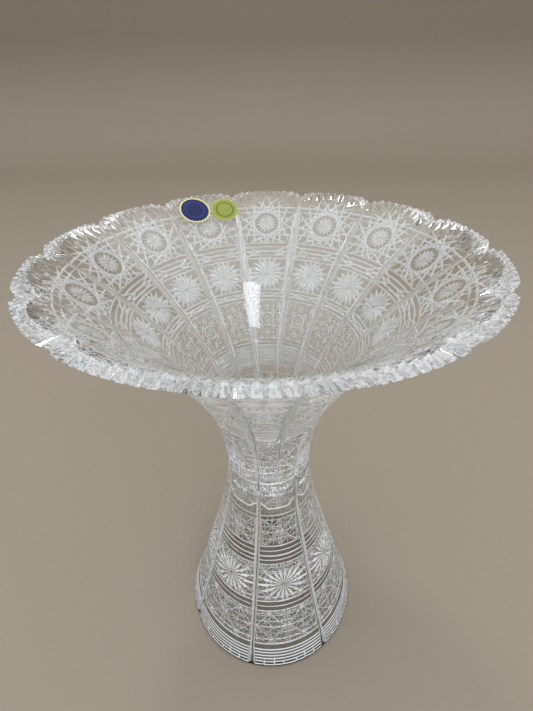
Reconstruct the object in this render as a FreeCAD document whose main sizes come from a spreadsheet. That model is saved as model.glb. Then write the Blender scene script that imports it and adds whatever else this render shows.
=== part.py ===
import FreeCAD, Part
import Sketcher
import math
import os

# A cut-crystal punch bowl on a stand: a flared bowl with a scalloped rim whose ground peg
# sits in the socket of a hollow, flared stand, and two thin foil seals on the bowl's inner wall.
# Frame: Z is the axis of the glass, the foot rests on z = 0, and a panel centre faces -Y.

doc = FreeCAD.newDocument("punch_bowl")
sheet = doc.addObject("Spreadsheet::Sheet", "sizes")

DRIVING = [
    # name, value in mm (or degrees, counts and shares where the note says so), note
    ("overall_height", 355, "foot to the top of the scallops"),
    ("rim_diameter", 286, "across the outer edge of the scallops"),
    ("foot_diameter", 152, "across the foot"),
    ("waist_diameter", 66.4, "at the narrowest place, where bowl and stand meet"),
    ("seam_height", 177, "foot to the joint between stand and bowl"),
    ("bowl_knee_rise", 0.40, "share of the bowl's height where its two arcs meet"),
    ("bowl_knee_reach", 0.155, "share of the bowl's flare reached there"),
    ("stand_knee_rise", 0.735, "share of the stand's height where its two arcs meet"),
    ("stand_knee_reach", 0.133, "share of the stand's flare reached there"),
    ("rim_face_run", 6.0, "radial width of the sloping rim face"),
    ("rim_face_rise", 3.0, "how far its inner edge stands above its outer edge"),
    ("bowl_wall", 12.8, "wall at the inner knee, measured level"),
    ("inner_knee_rise", 0.4775, "share of the bowl's height where its two inner arcs meet"),
    ("inner_knee_steepness", 0.987, "slope of the inner wall there, over the bowl's overall slope"),
    ("floor_height", 190, "height of the lowest point inside the bowl"),
    ("floor_radius", 24, "radius of the rounded bottom of the hollow"),
    ("panels", 14, "cut panels and scallops round the bowl"),
    ("stand_panels", 7, "cut panels round the stand"),
    ("scallop_depth", 5.7, "valley between scallops, below their tops"),
    ("mitre_width", 5.0, "width of the long V cut between two panels"),
    ("mitre_depth", 2.2, "depth of that cut"),
    ("mitre_proud", 1.5, "how far the section of the cut reaches out beyond the wall"),
    ("mitre_stop", 12.0, "height of plain glass left above the cut, below the rim face"),
    ("peg_diameter", 44, "ground peg under the bowl"),
    ("peg_length", 16, "length of the peg"),
    ("socket_clearance", 0.3, "gap round the peg, on the radius"),
    ("socket_extra", 2.0, "socket depth below the peg"),
    ("stand_wall", 9.0, "wall of the stand, measured level"),
    ("stand_neck_radius", 25, "radius of the hollow just under the socket"),
    ("foot_edge", 2.5, "height of the upright polished edge of the foot"),
    ("foot_steps", 4, "step cuts round the foot"),
    ("foot_step_pitch", 2.9, "distance from one step cut to the next"),
    ("foot_step_depth", 1.0, "depth of a step cut"),
    ("foot_step_land", 0.2, "wall left uncut between two steps"),
    ("seal_thickness", 0.2, "foil and paper of a seal"),
    ("seal_gap", 0.05, "adhesive between a seal and the glass"),
    ("blue_seal_diameter", 27, "across the blue seal"),
    ("blue_seal_height", 346, "height of its centre"),
    ("blue_seal_turn", 119.2, "degrees from +X"),
    ("green_seal_diameter", 24, "across the green seal"),
    ("green_seal_height", 344, "height of its centre"),
    ("green_seal_turn", 107.3, "degrees from +X"),
]
for row, (alias, amount, note) in enumerate(DRIVING, start=1):
    sheet.set("A%d" % row, alias)
    sheet.set("B%d" % row, str(amount))
    sheet.set("C%d" % row, note)
    sheet.setAlias("B%d" % row, alias)
doc.recompute()


def size(alias):
    return float(sheet.get(alias))


def origin_plane(body, role):
    return next(item for item in body.Origin.OriginFeatures if item.Role == role)


def new_body(label):
    body = doc.addObject("PartDesign::Body", label)
    body.Label = label
    return body


def new_sketch(body, name, role, offset=None):
    sketch = body.newObject("Sketcher::SketchObject", name)
    sketch.AttachmentSupport = [(origin_plane(body, role), "")]
    sketch.MapMode = "FlatFace"
    if offset is not None:
        sketch.AttachmentOffset = offset
    return sketch


class Outline:
    """A closed chain of lines and arcs in a sketch, with its points tied to the sheet."""

    def __init__(self, sketch):
        self.sketch = sketch

    def line(self, start, end):
        return self.sketch.addGeometry(Part.LineSegment(vec(start), vec(end)), False)

    def helper(self, start, end):
        """A construction line."""
        return self.sketch.addGeometry(Part.LineSegment(vec(start), vec(end)), True)

    def arc(self, centre, start, end):
        """Short arc between two points: its number, and which of its ends each point is."""
        turns = [math.atan2(spot[1] - centre[1], spot[0] - centre[0]) for spot in (start, end)]
        sweep = (turns[1] - turns[0]) % (2 * math.pi)
        forward = sweep < math.pi
        begin, span = (turns[0], sweep) if forward else (turns[1], 2 * math.pi - sweep)
        radius = math.hypot(start[0] - centre[0], start[1] - centre[1])
        circle = Part.Circle(vec(centre), FreeCAD.Vector(0, 0, 1), radius)
        index = self.sketch.addGeometry(Part.ArcOfCircle(circle, begin, begin + span), False)
        return index, ((1, 2) if forward else (2, 1))

    def join(self, first, first_end, second, second_end):
        self.sketch.addConstraint(
            Sketcher.Constraint("Coincident", first, first_end, second, second_end))

    def tangent(self, first, first_end, second, second_end):
        self.sketch.addConstraint(
            Sketcher.Constraint("Tangent", first, first_end, second, second_end))

    def level(self, index):
        self.sketch.addConstraint(Sketcher.Constraint("Horizontal", index))

    def upright(self, index):
        self.sketch.addConstraint(Sketcher.Constraint("Vertical", index))

    def tie(self, kind, args, name, expression, start):
        """A dimension of the sketch that follows an expression over the sheet."""
        index = self.sketch.addConstraint(Sketcher.Constraint(kind, *args, start))
        self.sketch.renameConstraint(index, name)
        self.sketch.setExpression("Constraints." + name, expression)

    def across(self, index, end, name, expression, start):
        self.tie("DistanceX", (-1, 1, index, end), name, expression, start)

    def up(self, index, end, name, expression, start):
        self.tie("DistanceY", (-1, 1, index, end), name, expression, start)


def vec(point):
    return FreeCAD.Vector(point[0], point[1], 0)


UPWARD = (0.0, 1.0)
DOWNWARD = (0.0, -1.0)
RIGHT = 1
LEFT = -1


def circle_through(start, heading, end, side=RIGHT):
    """Centre and radius of the circle through two points with a set heading at the first."""
    normal = (side * heading[1], -side * heading[0])
    reach = (end[0] - start[0], end[1] - start[1])
    along = reach[0] * normal[0] + reach[1] * normal[1]
    radius = (reach[0] ** 2 + reach[1] ** 2) / (2 * along)
    return (start[0] + normal[0] * radius, start[1] + normal[1] * radius), radius


def heading_after(centre, point, side=RIGHT):
    """Heading at a point of an arc that bends to one side."""
    out = (point[0] - centre[0], point[1] - centre[1])
    length = math.hypot(*out)
    return (side * out[1] / length, -side * out[0] / length)


# Expressions over the sheet that several sketches share.
WAIST = "sizes.waist_diameter / 2"
BOWL_KNEE_ACROSS = WAIST + " + sizes.bowl_knee_reach * (sizes.rim_diameter - sizes.waist_diameter) / 2"
BOWL_KNEE_UP = ("sizes.seam_height + sizes.bowl_knee_rise * (sizes.overall_height"
                " - sizes.rim_face_rise - sizes.seam_height)")
STAND_KNEE_ACROSS = (WAIST + " + sizes.stand_knee_reach * (sizes.foot_diameter"
                     " - sizes.waist_diameter) / 2")
STAND_KNEE_UP = "sizes.stand_knee_rise * sizes.seam_height"
INNER_KNEE_UP = ("sizes.seam_height + sizes.inner_knee_rise * (sizes.overall_height"
                 " - sizes.seam_height)")
INNER_LEAN = ("atan(sizes.inner_knee_steepness * 2 * (sizes.overall_height - sizes.seam_height)"
              " / (sizes.rim_diameter - sizes.waist_diameter))")
PANEL_REACH = "sizes.rim_diameter / 2 * sin(180 deg / sizes.panels)"
MITRE_WIDE = "sizes.mitre_width / 2 * (1 + sizes.mitre_proud / sizes.mitre_depth)"

# How far a tool for a cut stands clear of the glass, and how much wider than the seal the skin
# is that the seal is trimmed from.
CLEAR = 2.0
SEAL_SPREAD = 1.3

# The same places as numbers, which start each sketch close to its solution.
waist = size("waist_diameter") / 2
rim_radius = size("rim_diameter") / 2
foot_radius = size("foot_diameter") / 2
seam = size("seam_height")
top = size("overall_height")
rim_low = top - size("rim_face_rise")
seam_point = (waist, seam)
rim_outer = (rim_radius, rim_low)
rim_inner = (rim_radius - size("rim_face_run"), top)
bowl_knee = (waist + size("bowl_knee_reach") * (rim_radius - waist),
             seam + size("bowl_knee_rise") * (rim_low - seam))
stand_knee = (waist + size("stand_knee_reach") * (foot_radius - waist),
              size("stand_knee_rise") * seam)

low_centre, low_radius = circle_through(seam_point, UPWARD, bowl_knee)
knee_heading = heading_after(low_centre, bowl_knee)
high_centre, high_radius = circle_through(bowl_knee, knee_heading, rim_outer)


def radius_outside(height):
    """Outer radius of the bowl at a height between the seam and the rim."""
    centre, radius = (low_centre, low_radius) if height < bowl_knee[1] else (high_centre, high_radius)
    return centre[0] - math.sqrt(radius ** 2 - (height - centre[1]) ** 2)


inner_knee_up = seam + size("inner_knee_rise") * (top - seam)
inner_knee = (radius_outside(inner_knee_up) - size("bowl_wall"), inner_knee_up)
slope = math.atan(size("inner_knee_steepness") * (top - seam) / (rim_radius - waist))
inner_heading = (math.cos(slope), math.sin(slope))
inner_normal = (math.sin(slope), -math.cos(slope))
inner_centre, inner_radius = circle_through(inner_knee, inner_heading, rim_inner)


def throat():
    """Lower inner arc, tangent to the inner knee and to the rounded bottom."""
    ball = size("floor_radius")
    ball_centre = (0.0, size("floor_height") + ball)
    gap = (inner_knee[0] - ball_centre[0], inner_knee[1] - ball_centre[1])
    along = gap[0] * inner_normal[0] + gap[1] * inner_normal[1]
    radius = (gap[0] ** 2 + gap[1] ** 2 - ball ** 2) / (2 * (ball - along))
    centre = (inner_knee[0] + inner_normal[0] * radius, inner_knee[1] + inner_normal[1] * radius)
    share = ball / (ball + radius)
    touch = (ball_centre[0] + (centre[0] - ball_centre[0]) * share,
             ball_centre[1] + (centre[1] - ball_centre[1]) * share)
    return ball_centre, centre, touch


def make_bowl():
    body = new_body("bowl")
    sketch = new_sketch(body, "bowl_outline", "XZ_Plane")
    draw = Outline(sketch)
    peg = size("peg_diameter") / 2
    peg_low = seam - size("peg_length")
    ball_centre, throat_centre, touch = throat()
    floor = (0.0, size("floor_height"))

    axis = draw.line(floor, (0, peg_low))
    under = draw.line((0, peg_low), (peg, peg_low))
    side = draw.line((peg, peg_low), (peg, seam))
    seat = draw.line((peg, seam), seam_point)
    low, low_ends = draw.arc(low_centre, seam_point, bowl_knee)
    high, high_ends = draw.arc(high_centre, bowl_knee, rim_outer)
    face = draw.line(rim_outer, rim_inner)
    inner, inner_ends = draw.arc(inner_centre, rim_inner, inner_knee)
    neck, neck_ends = draw.arc(throat_centre, inner_knee, touch)
    bottom, bottom_ends = draw.arc(ball_centre, touch, floor)
    # Two helper lines place the inner knee: one leans as the wall does, one spans the glass.
    lean_length = size("floor_radius")
    lean = draw.helper(inner_knee, (inner_knee[0] + lean_length * inner_heading[0],
                                    inner_knee[1] + lean_length * inner_heading[1]))
    span = draw.helper(inner_knee, (inner_knee[0] + size("bowl_wall"), inner_knee[1]))

    draw.join(axis, 2, under, 1)
    draw.join(under, 2, side, 1)
    draw.join(side, 2, seat, 1)
    draw.join(seat, 2, low, low_ends[0])
    draw.join(face, 1, high, high_ends[1])
    draw.join(face, 2, inner, inner_ends[0])
    draw.join(bottom, bottom_ends[1], axis, 1)
    draw.tangent(low, low_ends[1], high, high_ends[0])
    draw.tangent(inner, inner_ends[1], lean, 1)
    draw.tangent(neck, neck_ends[0], lean, 1)
    draw.tangent(neck, neck_ends[1], bottom, bottom_ends[0])
    draw.upright(axis)
    draw.level(under)
    draw.upright(side)
    draw.level(seat)
    sketch.addConstraint(Sketcher.Constraint("PointOnObject", axis, 1, -2))
    sketch.addConstraint(Sketcher.Constraint("PointOnObject", bottom, 3, -2))
    draw.across(under, 2, "peg_across", "sizes.peg_diameter / 2", peg)
    draw.up(under, 2, "peg_low", "sizes.seam_height - sizes.peg_length", peg_low)
    draw.up(seat, 2, "seam_up", "sizes.seam_height", seam)
    draw.across(seat, 2, "waist_across", WAIST, waist)
    # The lower arc leaves the waist upright, so its centre is level with the seam.
    draw.tie("DistanceY", (-1, 1, low, 3), "low_centre_up", "sizes.seam_height", seam)
    draw.across(low, low_ends[1], "knee_across", BOWL_KNEE_ACROSS, bowl_knee[0])
    draw.up(low, low_ends[1], "knee_up", BOWL_KNEE_UP, bowl_knee[1])
    draw.across(face, 1, "rim_across", "sizes.rim_diameter / 2", rim_radius)
    draw.up(face, 1, "rim_up", "sizes.overall_height - sizes.rim_face_rise", rim_low)
    draw.across(face, 2, "rim_inner_across", "sizes.rim_diameter / 2 - sizes.rim_face_run", rim_inner[0])
    draw.up(face, 2, "rim_inner_up", "sizes.overall_height", top)
    draw.up(lean, 1, "inner_knee_up", INNER_KNEE_UP, inner_knee[1])
    draw.join(lean, 1, span, 1)
    draw.level(span)
    sketch.addConstraint(Sketcher.Constraint("PointOnObject", span, 2, high))
    draw.tie("Distance", (span,), "wall", "sizes.bowl_wall", size("bowl_wall"))
    draw.tie("Distance", (lean,), "lean_length", "sizes.floor_radius", lean_length)
    draw.tie("Angle", (-1, 1, lean, 1), "inner_lean", INNER_LEAN, slope)
    draw.up(axis, 1, "floor_up", "sizes.floor_height", size("floor_height"))
    draw.tie("Radius", (bottom,), "floor_round", "sizes.floor_radius", size("floor_radius"))

    turned = body.newObject("PartDesign::Revolution", "bowl_turned")
    turned.Profile = sketch
    turned.ReferenceAxis = (sketch, ["V_Axis"])
    turned.Angle = 360
    doc.recompute()
    report_volume(turned, "bowl turned")
    cut_valleys(body)
    stop_height = rim_low - size("mitre_stop")
    stop = (radius_outside(stop_height), stop_height)
    cut_mitres(body, "bowl", "panels", seam_point,
               [(low_centre, seam_point, bowl_knee), (high_centre, bowl_knee, stop)])
    return body


def report_volume(feature, words):
    print("%-22s %12.0f mm3  valid %s" % (words, feature.Shape.Volume, feature.Shape.isValid()))


def cut_valleys(body):
    """The valleys between the scallops of the rim, one pocket repeated round the axis."""
    sketch = new_sketch(body, "valley_outline", "YZ_Plane")
    draw = Outline(sketch)
    half = math.pi / size("panels")
    reach = rim_radius * math.sin(half)
    low = top - size("scallop_depth")
    above = top + CLEAR
    rise = size("scallop_depth")
    bend = (reach ** 2 + rise ** 2) / (2 * rise)
    right, right_ends = draw.arc((reach, top - bend), (0, low), (reach, top))
    left, left_ends = draw.arc((-reach, top - bend), (-reach, top), (0, low))
    right_side = draw.line((reach, top), (reach, above))
    cover = draw.line((reach, above), (-reach, above))
    left_side = draw.line((-reach, above), (-reach, top))

    draw.join(right, right_ends[1], right_side, 1)
    draw.join(right_side, 2, cover, 1)
    draw.join(cover, 2, left_side, 1)
    draw.join(left_side, 2, left, left_ends[0])
    draw.join(left, left_ends[1], right, right_ends[0])
    draw.upright(right_side)
    draw.level(cover)
    draw.upright(left_side)
    sketch.addConstraint(Sketcher.Constraint("PointOnObject", right, right_ends[0], -2))
    draw.up(right, right_ends[0], "valley_up", "sizes.overall_height - sizes.scallop_depth", low)
    draw.across(right, right_ends[1], "half_width", PANEL_REACH, reach)
    draw.up(right, right_ends[1], "scallop_up", "sizes.overall_height", top)
    draw.tie("DistanceX", (left, left_ends[0], -1, 1), "other_half_width", PANEL_REACH, reach)
    draw.up(left, left_ends[0], "other_scallop_up", "sizes.overall_height", top)
    draw.up(cover, 1, "cover_up", "sizes.overall_height + %g" % CLEAR, above)
    draw.tie("DistanceX", (-1, 1, right, 3), "right_bend", PANEL_REACH, reach)
    draw.tie("DistanceX", (left, 3, -1, 1), "left_bend", PANEL_REACH, reach)

    before = body.Tip.Shape.Volume
    valley = body.newObject("PartDesign::Pocket", "valley")
    valley.Profile = sketch
    valley.Type = "ThroughAll"
    valley.Reversed = True
    repeat_round_axis(body, valley, "valleys", "panels", before)


def repeat_round_axis(body, feature, name, count, before):
    """Repeats a cut round the axis, starting at +X, and checks that every copy cut something."""
    doc.recompute()
    single = before - feature.Shape.Volume
    ring = body.newObject("PartDesign::PolarPattern", name)
    ring.Originals = [feature]
    ring.Axis = (origin_plane(body, "Z_Axis"), [""])
    ring.Angle = 360
    ring.Occurrences = int(size(count))
    ring.setExpression("Occurrences", "sizes." + count)
    body.Tip = ring
    doc.recompute()
    copies = (before - ring.Shape.Volume) / single
    print("%-18s one cut %8.1f mm3, all cut %5.2f times that" % (name, single, copies))
    if single <= 0 or copies < 0.9 * size(count):
        raise RuntimeError(name + " cut too little")


def cut_mitres(body, word, count, start, chain):
    """Long V cuts down a curved wall, one swept along the outline and repeated round the axis."""
    path = new_sketch(body, word + "_mitre_path", "XZ_Plane")
    draw = Outline(path)
    spans = [draw.arc(centre, first, last) for centre, first, last in chain]
    for (lower, lower_ends), (upper, upper_ends) in zip(spans, spans[1:]):
        draw.join(lower, lower_ends[1], upper, upper_ends[0])
    level = FreeCAD.Placement(FreeCAD.Vector(0, 0, start[1]), FreeCAD.Rotation())
    section = new_sketch(body, word + "_mitre_section", "XY_Plane", level)
    draw = Outline(section)
    half = size("mitre_width") / 2
    root = (start[0] - size("mitre_depth"), 0)
    # The V opens at the same angle beyond the wall, so that it leaves nothing standing there.
    proud = size("mitre_proud")
    wide = half * (1 + proud / size("mitre_depth"))
    corners = [root, (start[0] + proud, wide), (start[0] + proud, -wide)]
    sides = [draw.line(corners[i], corners[(i + 1) % 3]) for i in range(3)]
    for i in range(3):
        draw.join(sides[i], 2, sides[(i + 1) % 3], 1)
    section.addConstraint(Sketcher.Constraint("PointOnObject", sides[0], 1, -1))
    draw.across(sides[0], 1, "root_across", WAIST + " - sizes.mitre_depth", root[0])
    draw.across(sides[1], 1, "edge_across", WAIST + " + sizes.mitre_proud", start[0] + proud)
    draw.across(sides[2], 1, "other_across", WAIST + " + sizes.mitre_proud", start[0] + proud)
    draw.up(sides[1], 1, "edge_up", MITRE_WIDE, wide)
    draw.tie("DistanceY", (sides[2], 1, -1, 1), "other_down", MITRE_WIDE, wide)
    before = body.Tip.Shape.Volume
    mitre = body.newObject("PartDesign::SubtractivePipe", word + "_mitre")
    mitre.Profile = section
    mitre.Spine = (path, ["Edge%d" % (i + 1) for i in range(len(spans))])
    repeat_round_axis(body, mitre, word + "_mitres", count, before)


def make_stand():
    body = new_body("stand")
    sketch = new_sketch(body, "stand_outline", "XZ_Plane")
    draw = Outline(sketch)
    socket = size("peg_diameter") / 2 + size("socket_clearance")
    ledge = seam - size("peg_length") - size("socket_extra")
    neck = size("stand_neck_radius")
    edge = (foot_radius, size("foot_edge"))
    inside_knee = (stand_knee[0] - size("stand_wall"), stand_knee[1])
    foot_inner = (foot_radius - size("stand_wall"), 0)

    upper_centre = circle_through(seam_point, DOWNWARD, stand_knee, LEFT)[0]
    heading = heading_after(upper_centre, stand_knee, LEFT)
    lower_centre, lower_radius = circle_through(stand_knee, heading, edge, LEFT)

    seat = draw.line((socket, seam), seam_point)
    upper, upper_ends = draw.arc(upper_centre, seam_point, stand_knee)
    lower, lower_ends = draw.arc(lower_centre, stand_knee, edge)
    rim = draw.line(edge, (foot_radius, 0))
    under = draw.line((foot_radius, 0), foot_inner)
    cone = draw.line(foot_inner, inside_knee)
    throat_line = draw.line(inside_knee, (neck, ledge))
    shelf = draw.line((neck, ledge), (socket, ledge))
    bore = draw.line((socket, ledge), (socket, seam))

    draw.join(seat, 2, upper, upper_ends[0])
    draw.tangent(upper, upper_ends[1], lower, lower_ends[0])
    draw.join(lower, lower_ends[1], rim, 1)
    for first, second in ((rim, under), (under, cone), (cone, throat_line), (throat_line, shelf),
                          (shelf, bore), (bore, seat)):
        draw.join(first, 2, second, 1)
    for level in (seat, under, shelf):
        draw.level(level)
    for upright in (rim, bore):
        draw.upright(upright)
    draw.across(seat, 1, "socket_across", "sizes.peg_diameter / 2 + sizes.socket_clearance", socket)
    draw.up(seat, 1, "seam_up", "sizes.seam_height", seam)
    draw.across(seat, 2, "waist_across", WAIST, waist)
    # The upper arc leaves the waist upright, so its centre is level with the seam.
    draw.tie("DistanceY", (-1, 1, upper, 3), "upper_centre_up", "sizes.seam_height", seam)
    draw.across(upper, upper_ends[1], "knee_across", STAND_KNEE_ACROSS, stand_knee[0])
    draw.up(upper, upper_ends[1], "knee_up", STAND_KNEE_UP, stand_knee[1])
    draw.across(rim, 1, "foot_across", "sizes.foot_diameter / 2", foot_radius)
    draw.up(rim, 1, "foot_edge_up", "sizes.foot_edge", size("foot_edge"))
    sketch.addConstraint(Sketcher.Constraint("PointOnObject", under, 1, -1))
    draw.across(cone, 1, "foot_inner_across", "sizes.foot_diameter / 2 - sizes.stand_wall", foot_inner[0])
    draw.across(cone, 2, "inner_across", STAND_KNEE_ACROSS + " - sizes.stand_wall", inside_knee[0])
    draw.up(cone, 2, "inner_up", STAND_KNEE_UP, inside_knee[1])
    draw.across(shelf, 1, "neck_across", "sizes.stand_neck_radius", neck)
    draw.up(shelf, 1, "ledge_up", "sizes.seam_height - sizes.peg_length - sizes.socket_extra", ledge)

    turned = body.newObject("PartDesign::Revolution", "stand_turned")
    turned.Profile = sketch
    turned.ReferenceAxis = (sketch, ["V_Axis"])
    turned.Angle = 360
    doc.recompute()
    report_volume(turned, "stand turned")
    cut_steps(body, lower_centre, lower_radius)
    cut_mitres(body, "stand", "stand_panels", seam_point,
               [(upper_centre, seam_point, stand_knee), (lower_centre, stand_knee, edge)])
    return body


def cut_steps(body, centre, radius):
    """Shallow V rings cut round the lowest part of the stand."""
    sketch = new_sketch(body, "step_outline", "XZ_Plane")
    draw = Outline(sketch)
    depth = size("foot_step_depth")
    pitch = size("foot_step_pitch")
    land = size("foot_step_land") / 2
    for step in range(int(size("foot_steps"))):
        low = size("foot_edge") + step * pitch
        heights = (low + land, low + pitch / 2, low + pitch - land)
        outer, root, inner = [centre[0] - math.sqrt(radius ** 2 - (up - centre[1]) ** 2)
                              for up in heights]
        corners = [(outer + depth / 2, heights[0]), (root - depth, heights[1]),
                   (inner + depth / 2, heights[2])]
        sides = [draw.line(corners[i], corners[(i + 1) % 3]) for i in range(3)]
        for i in range(3):
            draw.join(sides[i], 2, sides[(i + 1) % 3], 1)
    before = body.Tip.Shape.Volume
    groove = body.newObject("PartDesign::Groove", "foot_steps")
    groove.Profile = sketch
    groove.ReferenceAxis = (sketch, ["V_Axis"])
    groove.Angle = 360
    doc.recompute()
    if before - groove.Shape.Volume < 1:
        raise RuntimeError("the foot steps cut nothing")
    report_volume(groove, "after the steps")


def make_seal(word):
    """A thin disc that lies on the curved inner wall: a turned skin trimmed to a round."""
    radius = size(word + "_seal_diameter") / 2
    height = size(word + "_seal_height")
    thick = size("seal_thickness")
    gap = size("seal_gap")
    across = inner_centre[0] - math.sqrt(inner_radius ** 2 - (height - inner_centre[1]) ** 2)
    out = ((across - inner_centre[0]) / inner_radius, (height - inner_centre[1]) / inner_radius)
    near, far = inner_radius + gap, inner_radius + gap + thick
    reach = SEAL_SPREAD * radius / inner_radius
    lean = math.atan2(out[1], out[0])

    def spot(distance, turn):
        return FreeCAD.Vector(inner_centre[0] + distance * math.cos(lean + turn), 0,
                              inner_centre[1] + distance * math.sin(lean + turn))

    edges = [Part.Arc(spot(near, -reach), spot(near, 0), spot(near, reach)).toShape(),
             Part.LineSegment(spot(near, reach), spot(far, reach)).toShape(),
             Part.Arc(spot(far, reach), spot(far, 0), spot(far, -reach)).toShape(),
             Part.LineSegment(spot(far, -reach), spot(near, -reach)).toShape()]
    half_turn = math.degrees(SEAL_SPREAD * radius / across)
    strip = Part.Face(Part.Wire(edges))
    strip.rotate(FreeCAD.Vector(), FreeCAD.Vector(0, 0, 1), -half_turn)
    skin = strip.revolve(FreeCAD.Vector(), FreeCAD.Vector(0, 0, 1), 2 * half_turn)
    facing = FreeCAD.Vector(out[0], 0, out[1])
    start = FreeCAD.Vector(across, 0, height) - facing * radius
    seal = doc.addObject("Part::Feature", word + "_seal")
    seal.Label = word + "_seal"
    seal.Shape = skin.common(Part.makeCylinder(radius, 2 * radius, start, facing))
    seal.Placement = FreeCAD.Placement(
        FreeCAD.Vector(), FreeCAD.Rotation(FreeCAD.Vector(0, 0, 1), size(word + "_seal_turn")))
    doc.recompute()
    print("%-18s %8.1f mm3, a flat disc would be %8.1f"
          % (word + "_seal", seal.Shape.Volume, math.pi * radius ** 2 * thick))
    return seal


nodes = [make_bowl(), make_stand(), make_seal("blue"), make_seal("green")]
for item in doc.Objects:
    if "Invalid" in item.State or "Error" in item.State:
        raise RuntimeError("%s did not compute: %s" % (item.Name, item.getStatusString()))
os.makedirs("parts", exist_ok=True)
for node in nodes:
    if node.Shape.isNull() or not node.Shape.isValid():
        raise RuntimeError(node.Label + " has no valid shape")
for node in nodes:
    node.Shape.exportStep("parts/%s.step" % node.Label)
    box = node.Shape.optimalBoundingBox()
    print("%-12s %d solid  X %.1f..%.1f  Y %.1f..%.1f  Z %.1f..%.1f" % (
        node.Label, len(node.Shape.Solids), box.XMin, box.XMax, box.YMin, box.YMax, box.ZMin, box.ZMax))
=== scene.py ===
import math

import bpy
import numpy as np
from bpy.props import FloatProperty, FloatVectorProperty, IntProperty, PointerProperty
from mathutils import Matrix, Vector
from mathutils.geometry import delaunay_2d_cdt


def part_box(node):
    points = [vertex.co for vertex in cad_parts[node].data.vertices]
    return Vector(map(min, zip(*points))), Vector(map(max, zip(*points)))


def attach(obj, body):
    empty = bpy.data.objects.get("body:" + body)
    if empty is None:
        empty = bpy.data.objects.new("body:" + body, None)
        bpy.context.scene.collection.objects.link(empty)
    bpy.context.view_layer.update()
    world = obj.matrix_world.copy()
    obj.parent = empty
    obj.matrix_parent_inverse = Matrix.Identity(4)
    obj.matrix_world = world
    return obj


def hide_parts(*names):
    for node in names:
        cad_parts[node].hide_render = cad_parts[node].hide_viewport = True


bl_info = {
    "name": "Cut Crystal Punch Bowl",
    "version": (1, 0, 0),
    "blender": (4, 5, 0),
    "location": "View3D > Sidebar > Crystal",
    "description": "Cuts the panels of a crystal punch bowl and its stand, and lays two foil seals in it",
    "category": "Mesh",
}

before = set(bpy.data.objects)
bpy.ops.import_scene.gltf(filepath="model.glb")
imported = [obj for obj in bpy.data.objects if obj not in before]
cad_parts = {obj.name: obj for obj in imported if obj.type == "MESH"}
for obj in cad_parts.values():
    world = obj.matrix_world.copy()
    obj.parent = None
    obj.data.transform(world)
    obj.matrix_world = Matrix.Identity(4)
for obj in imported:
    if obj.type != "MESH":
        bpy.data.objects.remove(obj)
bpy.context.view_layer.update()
MM = 0.001
BOWL_LOW, BOWL_HIGH = (Vector(corner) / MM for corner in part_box("bowl"))
_, STAND_HIGH = (Vector(corner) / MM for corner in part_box("stand"))

# Points of neighbouring sectors closer than this, in metres, become one.
WELD = 2e-6

# Angle between two facets above which the edge between them is sharp.
GLASS_CREASE, FOIL_CREASE = math.radians(17), math.radians(35)

# Plain belt between the neck's wide panels and the bowl panels above them, in millimetres.
BELT = 1.0

# Half width of the long cuts for the height, as shares of the widest.
BOWL_MITRES = ((177, 0.36), (182, 0.45), (200, 0.6), (250, 0.8), (300, 1.0), (330, 0.88),
               (341, 0.4), (344.5, 0.0))
STAND_MITRES = ((2.5, 1.6), (6, 1.6), (18, 0.85), (60, 1.0), (130, 1.0), (165, 0.7), (177, 0.5))

# How a face is finished, kept with it as a number from 0, polished, to 1, white as frost.
POLISHED, SHEEN, FINE, MATT, HAZY, GROUND = 0.0, 0.15, 0.3, 0.45, 0.6, 0.95


# ---------------------------------------------------------------- outlines

class Arc:
    """Part of a circle in the plane of radius and height, from one point to another."""

    def __init__(self, centre, start, end):
        self.centre = np.array(centre, float)
        self.radius = math.dist(centre, start)
        self.first = math.atan2(start[1] - centre[1], start[0] - centre[0])
        last = math.atan2(end[1] - centre[1], end[0] - centre[0])
        self.sweep = (last - self.first + math.pi) % (2 * math.pi) - math.pi
        self.length = abs(self.sweep) * self.radius

    def at(self, along):
        turn = self.first + self.sweep * along / self.length
        return self.centre + self.radius * np.stack([np.cos(turn), np.sin(turn)], -1)


def circle_through(start, heading, end, side):
    """Centre of the circle through two points with a set heading at the first."""
    normal = np.array([side * heading[1], -side * heading[0]])
    reach = np.subtract(end, start)
    return np.asarray(start) + normal * (reach @ reach) / (2 * reach @ normal)


def heading_after(centre, point, side):
    """Heading at a point of an arc that bends to one side."""
    out = np.subtract(point, centre)
    out = out / np.linalg.norm(out)
    return side * out[1], -side * out[0]


class Outline:
    """A smooth chain of arcs that rises all the way, walked by its length."""

    def __init__(self, arcs):
        self.arcs = arcs
        self.starts = np.cumsum([0] + [arc.length for arc in arcs])
        self.length = self.starts[-1]
        walk = np.linspace(0, self.length, 2001)
        self.walk = walk
        self.radii, self.heights = self.at(walk).T

    def at(self, along):
        along = np.atleast_1d(np.asarray(along, float))
        spots = np.zeros((len(along), 2))
        for i, arc in enumerate(self.arcs):
            last = i == len(self.arcs) - 1
            here = (along >= self.starts[i]) & ((along < self.starts[i + 1]) | last)
            here |= (i == 0) & (along < 0)
            spots[here] = arc.at(along[here] - self.starts[i])
        return spots

    def normal(self, along):
        """Direction square to the outline, to the right of the way it is walked."""
        along = np.asarray(along, float)
        ahead = self.at(along + 0.05) - self.at(along - 0.05)
        ahead /= np.linalg.norm(ahead, axis=1)[:, None]
        return np.stack([ahead[:, 1], -ahead[:, 0]], 1)

    def walk_to(self, height):
        """Length along the outline where it reaches a height."""
        return float(np.interp(height, self.heights, self.walk))

    def radius_at(self, height):
        return np.interp(height, self.heights, self.radii)


# ---------------------------------------------------------------- cuts in one panel

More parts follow.
